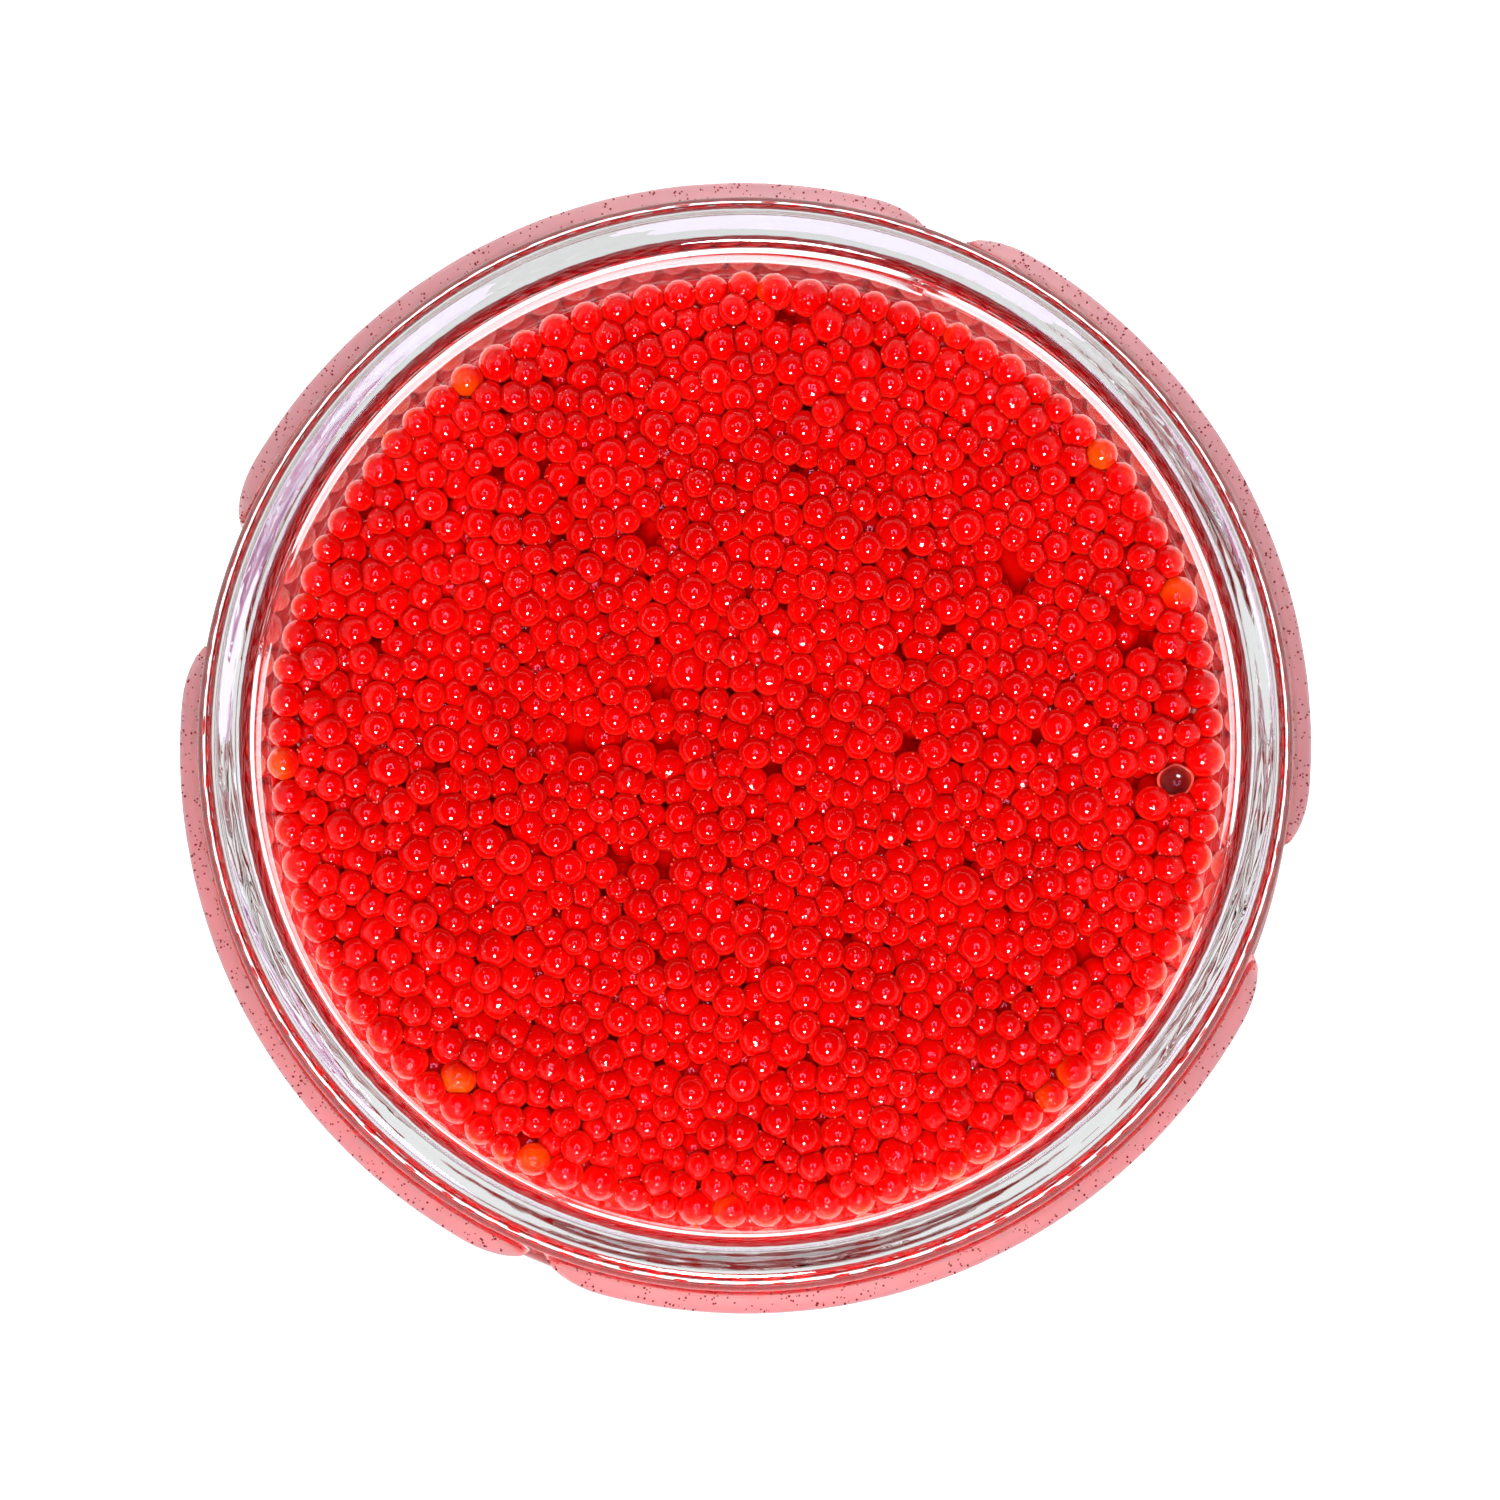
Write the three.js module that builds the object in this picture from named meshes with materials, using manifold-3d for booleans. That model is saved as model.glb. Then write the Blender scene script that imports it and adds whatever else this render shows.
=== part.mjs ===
// A squat, straight-sided clear glass jar with a twist-off neck, open, filled with red flying-fish roe to
// just below its rim. Millimetres, +Z up. The origin is the centre of the ring that the jar stands on, so
// z = 0 is the surface under it. Seen from above, angles run counter-clockwise from +X.
import * as THREE from "three";
import { mergeVertices } from "three/addons/utils/BufferGeometryUtils.js";
import Module from "manifold-3d";

// Jar, outside
const JAR_HEIGHT = 52;
const BODY_RADIUS = 28.5;
const NECK_RADIUS = 27.2;
const HEEL_RADIUS = 4.2;
const STANDING_RING_INNER = 19.8;
const PUSH_UP_RADIUS = 16;
const PUSH_UP = 1.1;
const SHOULDER_HEIGHT = 37.8;
const SHOULDER_ROUND = 3;
const NECK_FILLET = 1.2;

// Jar, inside
const BORE_RADIUS = 24.35;
const BODY_WALL = 3.2;
const FLOOR_THICKNESS = 4.3;
const FLOOR_DOME = 0.6;
const INNER_HEEL_RADIUS = 3;
const INNER_NECK_ROUND = 1.8;
const INNER_NECK_HEIGHT = 42.6;
const INNER_SHOULDER_ROUND = 2.4;
const LIP_OUTER_ROUND = 1.1;
const LIP_INNER_ROUND = 0.9;
const JAR_SIDES = 56;

// Thread leads: where each leaves the neck and where it meets it again, in degrees seen from above
const LEADS = [
  { from: 248.4, to: 337.7 },
  { from: 348.9, to: 426.6 },
  { from: 70.0, to: 156.9 },
  { from: 168.9, to: 247.5 },
];
const LEAD_DEPTH = 1.3;
const LEAD_HALF_HEIGHT = 1.25;
const LEAD_CREST_HALF = 0.55;
const LEAD_LOW_END = 46.6;
const LEAD_RISE = 1.7;
const LEAD_RAMP = 7;
const LEAD_ROOT = 1.0;
const LEAD_BURY = 0.06;
const LEAD_STATIONS = 11;
const RAMP_STATIONS = 3;

// Roe: eggs lie in rings, ring k holding six times k of them, each a bump with a flat cap and sloping sides
const EGG_DIAMETER = 1.75;
const RINGS = 12;
const OUTER_RING_RADIUS = 23.1;
const ROE_LEVEL = 45.6;
const LEVEL_WAVE = 0.28;
const LEVEL_WAVE_LENGTH = 19;
const EGG_SHIFT = 0.42;
const RING_TWIST = 0.5;
const EGG_LIFT = 0.3;
const CAP_SHARE = 0.55;
const CAP_DROP = 0.17;
const VALLEY_DEPTH = 0.9;
const NOTCH_DEPTH = 1.1;
const GLASS_GAP = 0.3;
const WALL_ROWS = 8;
const WALL_RELIEF = 0.32;
const SEED = 58;

const DEGREE = Math.PI / 180;

const wasm = await Module();
wasm.setup();

// Repeatable draws between 0 and 1 (a linear congruential generator).
function randomSource(seed) {
  let state = seed;
  return () => {
    state = (state * 1664525 + 1013904223) % 4294967296;
    return state / 4294967296;
  };
}

// Points of an arc in the profile plane: x is the radius and y the height. The first point is left out.
function arc(x, y, radius, fromDegrees, toDegrees, steps) {
  const points = [];
  for (let i = 1; i <= steps; i += 1) {
    const angle = (fromDegrees + ((toDegrees - fromDegrees) * i) / steps) * DEGREE;
    points.push(new THREE.Vector2(x + radius * Math.cos(angle), y + radius * Math.sin(angle)));
  }
  return points;
}

// The two arcs of an S bend between two upright lines. The first arc's centre is given, and the second's is
// worked out from its own line, so that the arcs touch. `down` is true where the bend is followed downwards.
function sBend(x, y, radius, nextX, nextRadius, down, steps) {
  const across = nextX - x;
  const reach = radius + nextRadius;
  const along = Math.sqrt(reach * reach - across * across) * (down ? -1 : 1);
  const turn = Math.atan2(along, across) / DEGREE;
  return [
    ...arc(x, y, radius, down ? -180 : 0, turn, steps),
    ...arc(nextX, y + along, nextRadius, turn + 180, down ? 0 : 180, steps),
  ];
}

// Glass: the profile runs from the axis under the base, up outside, over the lip and down inside to the axis.
function jarProfile() {
  const innerRadius = BODY_RADIUS - BODY_WALL;
  const outerBend = sBend(
    BODY_RADIUS - SHOULDER_ROUND, SHOULDER_HEIGHT, SHOULDER_ROUND,
    NECK_RADIUS + NECK_FILLET, NECK_FILLET, false, 2,
  );
  const innerBend = sBend(
    BORE_RADIUS + INNER_NECK_ROUND, INNER_NECK_HEIGHT, INNER_NECK_ROUND,
    innerRadius - INNER_SHOULDER_ROUND, INNER_SHOULDER_ROUND, true, 2,
  );
  const lipOuter = JAR_HEIGHT - LIP_OUTER_ROUND;
  const lipInner = JAR_HEIGHT - LIP_INNER_ROUND;
  const innerHeel = FLOOR_THICKNESS + INNER_HEEL_RADIUS;
  return [
    new THREE.Vector2(0, PUSH_UP),
    new THREE.Vector2(PUSH_UP_RADIUS, PUSH_UP),
    new THREE.Vector2(STANDING_RING_INNER, 0),
    new THREE.Vector2(BODY_RADIUS - HEEL_RADIUS, 0),
    ...arc(BODY_RADIUS - HEEL_RADIUS, HEEL_RADIUS, HEEL_RADIUS, -90, 0, 3),
    new THREE.Vector2(BODY_RADIUS, SHOULDER_HEIGHT),
    ...outerBend,
    new THREE.Vector2(NECK_RADIUS, lipOuter),
    ...arc(NECK_RADIUS - LIP_OUTER_ROUND, lipOuter, LIP_OUTER_ROUND, 0, 90, 3),
    new THREE.Vector2(BORE_RADIUS + LIP_INNER_ROUND, JAR_HEIGHT),
    ...arc(BORE_RADIUS + LIP_INNER_ROUND, lipInner, LIP_INNER_ROUND, 90, 180, 3),
    new THREE.Vector2(BORE_RADIUS, INNER_NECK_HEIGHT),
    ...innerBend,
    new THREE.Vector2(innerRadius, innerHeel),
    ...arc(innerRadius - INNER_HEEL_RADIUS, innerHeel, INNER_HEEL_RADIUS, 0, -90, 2),
    new THREE.Vector2(0, FLOOR_THICKNESS + FLOOR_DOME),
  ];
}

// A closed mesh with shared vertices and without the faces that shrink to nothing at the axis.
function closedMesh(geometry) {
  geometry.deleteAttribute("normal");
  geometry.deleteAttribute("uv");
  const merged = mergeVertices(geometry, 1e-4);
  const index = merged.index.array;
  const kept = [];
  for (let i = 0; i < index.length; i += 3) {
    const [a, b, c] = [index[i], index[i + 1], index[i + 2]];
    if (a !== b && b !== c && c !== a) kept.push(a, b, c);
  }
  merged.setIndex(kept);
  return merged;
}

function solidOf(geometry) {
  const closed = closedMesh(geometry);
  return new wasm.Manifold(new wasm.Mesh({
    numProp: 3,
    vertProperties: new Float32Array(closed.attributes.position.array),
    triVerts: new Uint32Array(closed.index.array),
  }));
}

function geometryOf(solid) {
  const mesh = solid.getMesh();
  const geometry = new THREE.BufferGeometry();
  geometry.setAttribute("position", new THREE.BufferAttribute(new Float32Array(mesh.vertProperties), 3));
  geometry.setIndex(Array.from(mesh.triVerts));
  return geometry;
}

// One thread lead: a six-sided section carried round the neck. It climbs counter-clockwise, as a right-hand
// thread does, and at both ends it sinks into the neck along a quarter of an ellipse.
function leadGeometry(lead) {
  const length = lead.to - lead.from;
  const ramp = (i) => (LEAD_RAMP * i * i) / RAMP_STATIONS ** 2;
  const angles = [];
  for (let i = 0; i < RAMP_STATIONS; i += 1) angles.push(lead.from + ramp(i));
  for (let i = 0; i <= LEAD_STATIONS; i += 1) {
    angles.push(lead.from + LEAD_RAMP + ((length - 2 * LEAD_RAMP) * i) / LEAD_STATIONS);
  }
  for (let i = RAMP_STATIONS - 1; i >= 0; i -= 1) angles.push(lead.to - ramp(i));

  const positions = [];
  for (const angle of angles) {
    const toEnd = Math.min(angle - lead.from, lead.to - angle) / LEAD_RAMP;
    const swell = Math.sqrt(1 - (1 - Math.min(toEnd, 1)) ** 2);
    const crest = NECK_RADIUS - LEAD_BURY + (LEAD_DEPTH + LEAD_BURY) * swell;
    const root = NECK_RADIUS - LEAD_ROOT;
    const skin = NECK_RADIUS - LEAD_BURY;
    const middle = LEAD_LOW_END + (LEAD_RISE * (angle - lead.from)) / length;
    const half = LEAD_HALF_HEIGHT * (0.6 + 0.4 * swell);
    const section = [
      [root, -half], [skin, -half], [crest, -LEAD_CREST_HALF],
      [crest, LEAD_CREST_HALF], [skin, half], [root, half],
    ];
    for (const [radius, rise] of section) {
      positions.push(radius * Math.cos(angle * DEGREE), radius * Math.sin(angle * DEGREE), middle + rise);
    }
  }

  const sides = 6;
  const last = (angles.length - 1) * sides;
  const index = [];
  for (let station = 0; station < angles.length - 1; station += 1) {
    for (let side = 0; side < sides; side += 1) {
      const a = station * sides + side;
      const b = station * sides + ((side + 1) % sides);
      index.push(a, a + sides, b, b, a + sides, b + sides);
    }
  }
  for (let side = 1; side < sides - 1; side += 1) {
    index.push(0, side, side + 1);
    index.push(last, last + side + 1, last + side);
  }
  const geometry = new THREE.BufferGeometry();
  geometry.setAttribute("position", new THREE.Float32BufferAttribute(positions, 3));
  geometry.setIndex(index);
  return geometry;
}

function jarGeometry() {
  const body = new THREE.LatheGeometry(jarProfile(), JAR_SIDES);
  body.rotateX(90 * DEGREE);
  let glass = solidOf(body);
  for (const lead of LEADS) glass = glass.add(solidOf(leadGeometry(lead)));
  return geometryOf(glass);
}

// Height of the roe's surface before each egg is lifted or sunk: two long waves crossing.
function roeLevel(x, y) {
  const k = (2 * Math.PI) / LEVEL_WAVE_LENGTH;
  return ROE_LEVEL + LEVEL_WAVE * (Math.sin(k * x + 0.8) + Math.sin(k * (0.5 * x + 0.9 * y) - 0.6)) * 0.5;
}

// The eggs' tops: ring 0 is one egg at the centre, and the outermost ring lies along the glass.
function eggTops(random) {
  const pitch = OUTER_RING_RADIUS / RINGS;
  const tops = [];
  for (let ring = 0; ring <= RINGS; ring += 1) {
    const count = Math.max(1, 6 * ring);
    const outermost = ring === RINGS;
    const twist = outermost ? 0 : RING_TWIST * (random() - 0.5);
    const row = [];
    for (let i = 0; i < count; i += 1) {
      const angle = (2 * Math.PI * (i + twist)) / count;
      const shift = EGG_SHIFT * Math.sqrt(random());
      const heading = 2 * Math.PI * random();
      const lift = EGG_LIFT * (2 * random() - 1);
      const radius = ring * pitch;
      const x = radius * Math.cos(angle) + (outermost ? 0 : shift * Math.cos(heading));
      const y = radius * Math.sin(angle) + (outermost ? 0 : shift * Math.sin(heading));
      row.push(new THREE.Vector3(x, y, roeLevel(x, y) + lift));
    }
    tops.push(row);
  }
  return tops;
}

// The inside of the glass, less the gap, from the neck down to the floor: radius and height of each row.
function wallRows() {
  const inside = BODY_RADIUS - BODY_WALL - GLASS_GAP;
  const neck = BORE_RADIUS - GLASS_GAP;
  const low = FLOOR_THICKNESS + GLASS_GAP;
  const heel = INNER_HEEL_RADIUS;
  const bend = sBend(
    BORE_RADIUS + INNER_NECK_ROUND, INNER_NECK_HEIGHT, INNER_NECK_ROUND + GLASS_GAP,
    inside + GLASS_GAP - INNER_SHOULDER_ROUND, INNER_SHOULDER_ROUND - GLASS_GAP, true, 2,
  );
  const top = bend[bend.length - 1].y;
  const rows = [new THREE.Vector2(neck, INNER_NECK_HEIGHT), ...bend];
  for (let i = 1; i <= WALL_ROWS; i += 1) {
    rows.push(new THREE.Vector2(inside, top + ((low + heel - top) * i) / WALL_ROWS));
  }
  rows.push(...arc(inside - heel, low + heel, heel, 0, -90, 2));
  return rows;
}

// The points round each egg: a valley between every three neighbours and, along the glass, a tip where the
// egg bulges out to the gap and a notch where the edge draws back between two eggs.
function eggSurrounds(tops, add) {
  const surrounds = tops.map((row) => row.map(() => []));
  for (let ring = 1; ring <= RINGS; ring += 1) {
    const inner = tops[ring - 1].length;
    const outer = tops[ring].length;
    const between = (...eggs) => {
      const centre = new THREE.Vector3();
      for (const [k, i] of eggs) centre.addScaledVector(tops[k][i], 1 / 3);
      centre.z -= VALLEY_DEPTH;
      const valley = add(centre);
      for (const [k, i] of eggs) surrounds[k][i].push(valley);
    };
    for (let i = 0; i < outer; i += 1) {
      const step = i % ring;
      const sector = (i - step) / ring;
      const near = (sector * (ring - 1) + step) % inner;
      const after = (i + 1) % outer;
      between([ring - 1, near], [ring, i], [ring, after]);
      if (step < ring - 1) between([ring - 1, near], [ring, after], [ring - 1, (near + 1) % inner]);
    }
  }

  const edge = tops[RINGS];
  const atGlass = (point, sunk, drop) => {
    const scale = (BORE_RADIUS - GLASS_GAP - sunk) / Math.hypot(point.x, point.y);
    return add(new THREE.Vector3(point.x * scale, point.y * scale, point.z - drop));
  };
  const tips = edge.map((top) => atGlass(top, 0, EGG_DIAMETER / 2));
  const notches = edge.map((top, i) => {
    const next = edge[(i + 1) % edge.length];
    return atGlass(top.clone().lerp(next, 0.5), WALL_RELIEF, NOTCH_DEPTH);
  });
  edge.forEach((top, i) => {
    surrounds[RINGS][i].push(tips[i], notches[i], notches[(i + edge.length - 1) % edge.length]);
  });
  return { surrounds, tips, notches };
}

// Roe: one closed solid. Its top has a bump for every egg, its side follows the glass with low bumps, and its
// underside rests just clear of the floor of the jar.
function roeGeometry() {
  const random = randomSource(SEED);
  const tops = eggTops(random);
  const vertices = [];
  const index = [];
  const add = (point) => vertices.push(point) - 1;
  const { surrounds, tips, notches } = eggSurrounds(tops, add);

  tops.forEach((row, ring) => row.forEach((top, i) => {
    const heading = (vertex) => Math.atan2(vertices[vertex].y - top.y, vertices[vertex].x - top.x);
    const around = surrounds[ring][i].sort((a, b) => heading(a) - heading(b));
    const cap = around.map((vertex) => {
      const point = top.clone().lerp(vertices[vertex], CAP_SHARE);
      point.z = top.z - CAP_DROP;
      return add(point);
    });
    for (let side = 0; side < around.length; side += 1) {
      const next = (side + 1) % around.length;
      index.push(cap[side], around[side], around[next], cap[side], around[next], cap[next]);
      if (side > 0 && next > 0) index.push(cap[0], cap[side], cap[next]);
    }
  }));

  const columns = 6 * RINGS;
  const rows = wallRows().map((row, level) => tips.map((tip, i) => {
    const angle = (2 * Math.PI * i) / columns;
    const sunk = (i + level) % 2 === 0 ? WALL_RELIEF * (0.4 + 0.6 * random()) : 0;
    const radius = row.x - sunk;
    return add(new THREE.Vector3(radius * Math.cos(angle), radius * Math.sin(angle), row.y));
  }));
  const lowest = rows[rows.length - 1];
  const floor = add(new THREE.Vector3(0, 0, FLOOR_THICKNESS + FLOOR_DOME + GLASS_GAP));
  for (let i = 0; i < columns; i += 1) {
    const next = (i + 1) % columns;
    index.push(tips[i], rows[0][i], notches[i]);
    index.push(notches[i], rows[0][i], rows[0][next]);
    index.push(notches[i], rows[0][next], tips[next]);
    for (let level = 0; level < rows.length - 1; level += 1) {
      const [upper, lower] = [rows[level], rows[level + 1]];
      index.push(upper[i], lower[i], lower[next], upper[i], lower[next], upper[next]);
    }
    index.push(lowest[i], floor, lowest[next]);
  }

  const geometry = new THREE.BufferGeometry();
  geometry.setFromPoints(vertices);
  geometry.setIndex(index);
  return geometry;
}

// Clear soda-lime glass, faintly cool.
const glass = new THREE.MeshStandardMaterial({
  color: "#dfe9ea", roughness: 0.06, metalness: 0, transparent: true, opacity: 0.4,
});
// Wet red roe.
const roe = new THREE.MeshStandardMaterial({ color: "#e40f10", roughness: 0.18, metalness: 0 });

function namedMesh(name, geometry, material) {
  const mesh = new THREE.Mesh(geometry, material);
  mesh.name = name;
  return mesh;
}

const group = new THREE.Group();
group.add(namedMesh("jar", jarGeometry(), glass));
group.add(namedMesh("roe", roeGeometry(), roe));

export default group;
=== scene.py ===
"""An open, squat glass jar with a twist-off neck, filled with red flying-fish roe to just below its rim.

The scene is in metres: sizes times MM are given in millimetres, and those of the lamps and the table in
metres. +Z is up, and the origin is the centre of the ring that the jar stands on. Seen from above, angles
run counter-clockwise from +X.
"""
import math

import bpy
import numpy as np
from bpy.props import FloatProperty, FloatVectorProperty, IntProperty, PointerProperty
from bpy.types import Operator, Panel, PropertyGroup
from mathutils import Matrix, Vector


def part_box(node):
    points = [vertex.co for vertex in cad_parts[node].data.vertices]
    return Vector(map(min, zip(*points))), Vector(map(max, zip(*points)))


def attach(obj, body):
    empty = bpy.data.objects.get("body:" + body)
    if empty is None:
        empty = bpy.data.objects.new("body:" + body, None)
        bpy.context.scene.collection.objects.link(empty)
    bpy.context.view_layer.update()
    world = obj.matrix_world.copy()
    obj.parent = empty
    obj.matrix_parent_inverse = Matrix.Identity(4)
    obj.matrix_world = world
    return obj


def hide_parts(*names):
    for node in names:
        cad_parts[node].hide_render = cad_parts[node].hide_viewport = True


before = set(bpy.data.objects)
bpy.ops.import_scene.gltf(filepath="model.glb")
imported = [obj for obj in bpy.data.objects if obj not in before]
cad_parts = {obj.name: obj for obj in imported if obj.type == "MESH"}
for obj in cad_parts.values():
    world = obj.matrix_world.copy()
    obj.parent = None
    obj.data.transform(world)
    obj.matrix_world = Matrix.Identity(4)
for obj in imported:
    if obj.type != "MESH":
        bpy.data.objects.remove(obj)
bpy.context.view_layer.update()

bl_info = {
    "name": "Jar of flying-fish roe",
    "version": (1, 0, 0),
    "blender": (4, 5, 0),
    "location": "3D View > Sidebar > Roe jar",
    "description": "Builds a clear glass jar of red flying-fish roe piece by piece",
    "category": "Object",
}

MM = 0.001
JAR_LOW, JAR_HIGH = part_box("jar")

# Jar: rounds and heights of its profile
HEEL_ROUND = 4.2 * MM
STANDING_RING_INNER = 19.8 * MM
PUSH_UP_RADIUS = 16 * MM
PUSH_UP = 1.1 * MM
SHOULDER_HEIGHT = 37.8 * MM
SHOULDER_ROUND = 3 * MM
NECK_FILLET = 1.2 * MM
INNER_HEEL_ROUND = 3 * MM
INNER_NECK_ROUND = 1.8 * MM
INNER_NECK_HEIGHT = 42.6 * MM
INNER_SHOULDER_ROUND = 2.4 * MM
LIP_OUTER_ROUND = 1.1 * MM
LIP_INNER_ROUND = 0.9 * MM
FLOOR_DOME = 0.6 * MM

# Glass: columns of its mesh round the axis, and how many times its ripples are stretched round the axis
JAR_COLUMNS = 320
FLOW_STRETCH = 5.0

# Thread leads: degrees where each begins and ends, its section and climb, and degrees of the ramps there
LEADS = ((248.4, 337.7), (348.9, 426.6), (70.0, 156.9), (168.9, 247.5))
LEAD_HALF_HEIGHT = 1.25 * MM
LEAD_CREST_HALF = 0.45 * MM
LEAD_LOW_END = 46.6 * MM
LEAD_RISE = 1.7 * MM
LEAD_RAMP = 7.0

# Roe: its level with its waves, and the packed roe under the single eggs
ROE_LEVEL = 45.6 * MM
LEVEL_WAVE = 0.28 * MM
LEVEL_WAVE_LENGTH = 19 * MM
CORE_DEPTH = 1.7 * MM
CORE_GAP = 0.8 * MM
CORE_RISE_OVER = 6 * MM
CORE_COLUMNS = 180
CORE_LID_STEPS = 24

# Painted shade: where the roe's colour darkens on its way down, as less light comes there, and by what share
# for the eggs and the packed roe
PAINTED_SHADE_FROM = 45 * MM
PAINTED_SHADE_TO = 33 * MM
EGGS_PAINTED_SHADE = 0.55
CORE_PAINTED_SHADE = 0.8

# How far the filling reaches into the glass, and between which heights it is pressed against the wall
CORE_INTO_GLASS = 0.05 * MM
EGGS_TOUCH = 0.12 * MM
EGGS_INTO_GLASS = 0.27 * MM
EDGE_INTO_GLASS = 0.02 * MM
PRESSED_FROM = 6 * MM
PRESSED_TO = 41 * MM
PRESS_CHANGE = 2 * MM

# Settling: how near eggs come, and are looked for, as shares of their radii, and their moves in a round
PRESS = 0.85
NEAR = 1.3
PUSH_SHARE = 0.45
PUSHES = 8
SINK = 0.004 * MM

# Least distance, in metres, that is divided by
TINY = 1e-9

# Eggs in the neck, and the chain of them along the glass on top
LOOSE_DEPTH = 4.8 * MM
LOOSE_SHARE = 0.74
LOOSE_ROUNDS = 14
CROWDED = 0.66
UNEVEN_TOP = 0.16 * MM
HELD_UNEVEN = 0.6
NECK_GAP = 0.6 * MM
NECK_GAP_BELOW = 0.6 * MM
EDGE_DRAWS = 120
EDGE_PRESS = 0.93
EDGE_GAP = 0.15 * MM

# Eggs against the glass: where they end, how densely they lie, and where they start to settle from
WALL_TOP = 41.6 * MM
WALL_OVER = 3 * MM
WALL_SHARE = 0.86
WALL_ROUNDS = 12
WALL_START = 0.95
WALL_START_RISE = 0.4 * MM

# Pieces: depths that part the neck's eggs and heights that part the wall's, each under MOST_TRIANGLES
SURFACE_DEPTH = 0.8 * MM
BURIED_DEPTH = 2.6 * MM
WALL_LOW_TO = 14 * MM
WALL_HIGH_FROM = 28 * MM
MOST_TRIANGLES = 200000
FEWEST_EGGS = 1000

# Balls: cells along each side of their cube, fewer where they are seen less closely
SURFACE_CELLS = 4
DEEP_CELLS = 3
SPECK_CELLS = 2

# Eggs one by one: spread of their stretch, what chance and painted shade towards the axis add to how deep
# their red is, and what chance and side add to their amber
EGG_STRETCH = 0.02
TONE_CHANCE = 0.7
TONE_PAINTED_AXIS_SHADE = 0.8
AMBER_LEAST = 0.25
AMBER_CHANCE = 0.35
AMBER_SIDED = 1.2

# Drops on the eggs and specks on the thread leads: how many, how big, and where they sit
DROPS = 2400
DROP_RADIUS = 0.05 * MM
DROP_LEAST = 0.6
DROP_SPAN = 0.8
DROP_UPWARD = 1.2
DROP_STANDS_OUT = 0.2
AMBER_DROPS = 0.06
SPECKS = 1500
SPECK_RADIUS = 0.055 * MM
SPECK_LEAST = 0.5
SPECK_SPAN = 0.7
SPECK_LOWEST = 0.45
SPECK_RISE = 0.5

# White round the jar: overexposed, with a painted shadow under the jar, dimmer where it is mirrored, and a
# fill for matt things
WHITE = 1.8
SHADED_WHITE = 0.8
SHADE_FROM = 30 * MM
SHADE_TO = 33 * MM
DIM_SKY = 0.03
MIRROR_DIM = 0.72
FILL = 0.68

# Half the width of the table, in metres
TABLE_HALF = 1.5

# Lamps, in metres, degrees and watts: the key towards the image's lower edge, and five in an arc above
KEY_PLACE = (-0.03, -0.36, 0.54)
KEY_SIZE = 0.16
KEY_POWER = 3.6
ARCH_LAMPS = 5
ARCH_FROM = -20
ARCH_TO = 200
ARCH_RIGHT = 0.03
ARCH_RADIUS = 0.17
ARCH_HEIGHT = 0.72
ARCH_SIZE = 0.13
ARCH_POWER = 0.3
ARCH_COLOUR = (0.75, 0.55, 1.0)

# Camera: degrees off the vertical, distance, the point it aims at, and its lens and sensor in millimetres
CAMERA_TILT = 2.8
CAMERA_DISTANCE = 254 * MM
CAMERA_AIM = (0.226 * MM, -0.276 * MM, 48 * MM)
CAMERA_LENS = 121.4
CAMERA_SENSOR = 36

# Eggs that stand out, from above: x and y, and for the empty and the big one the radius, in millimetres
AMBER_EGGS = (
    (-13.6, 18.6), (-22.3, 6.9), (-23.3, -0.25), (0.9, 22.9), (2.1, 23.1), (10.3, 21.2), (14.8, 18.2),
    (17.9, 15.2), (22.2, 7.1), (16.6, -17.1), (14.8, -18.0), (11.3, -20.6), (-1.5, -23.1), (-10.6, -20.4),
    (-14.9, -17.3),
)
EMPTY_EGG = (21.8, -1.7, 0.89)
BIG_EGG = (-2.9, 3.9, 1.2)

# Big egg in the chain along the glass: its radius, and the angle in degrees where it lies
EDGE_EGG_RADIUS = 1.1 * MM
EDGE_EGG_TURN = -1.2

# Painted amber glow of the eggs at the bore, standing in for light through the glass: its strength, and how
# far inward and downward it reaches
PAINTED_GLOW = 0.9
PAINTED_GLOW_DEPTH = 0.6 * MM
PAINTED_GLOW_BELOW = 1.0 * MM


def linear(hex_colour, alpha=1.0):
    """An sRGB hex colour as linear RGBA: a channel c becomes c / 12.92 up to 0.04045, else a power of 2.4."""
    channels = [int(hex_colour[i:i + 2], 16) / 255 for i in (1, 3, 5)]
    return [c / 12.92 if c <= 0.04045 else ((c + 0.055) / 1.055) ** 2.4 for c in channels] + [alpha]


class JarSizes(PropertyGroup):
    """Sizes of the glass."""
    body_radius: FloatProperty(
        name="Body radius", description="Outside radius of the body",
        default=(JAR_HIGH.x - JAR_LOW.x) / 2, unit="LENGTH")
    height: FloatProperty(
        name="Height", description="From the standing ring to the lip", default=JAR_HIGH.z, unit="LENGTH")
    neck_radius: FloatProperty(
        name="Neck radius", description="Outside radius of the neck", default=27.2 * MM, unit="LENGTH")
    bore_radius: FloatProperty(
        name="Bore radius", description="Inside radius of the neck", default=24.35 * MM, unit="LENGTH")
    wall: FloatProperty(
        name="Wall", description="Thickness of the body's wall", default=3.2 * MM, unit="LENGTH")
    floor: FloatProperty(
        name="Floor", description="Thickness of the base", default=4.3 * MM, unit="LENGTH")
    lead_depth: FloatProperty(
        name="Thread depth", description="How far a thread lead stands out", default=1.3 * MM,
        unit="LENGTH")


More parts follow.
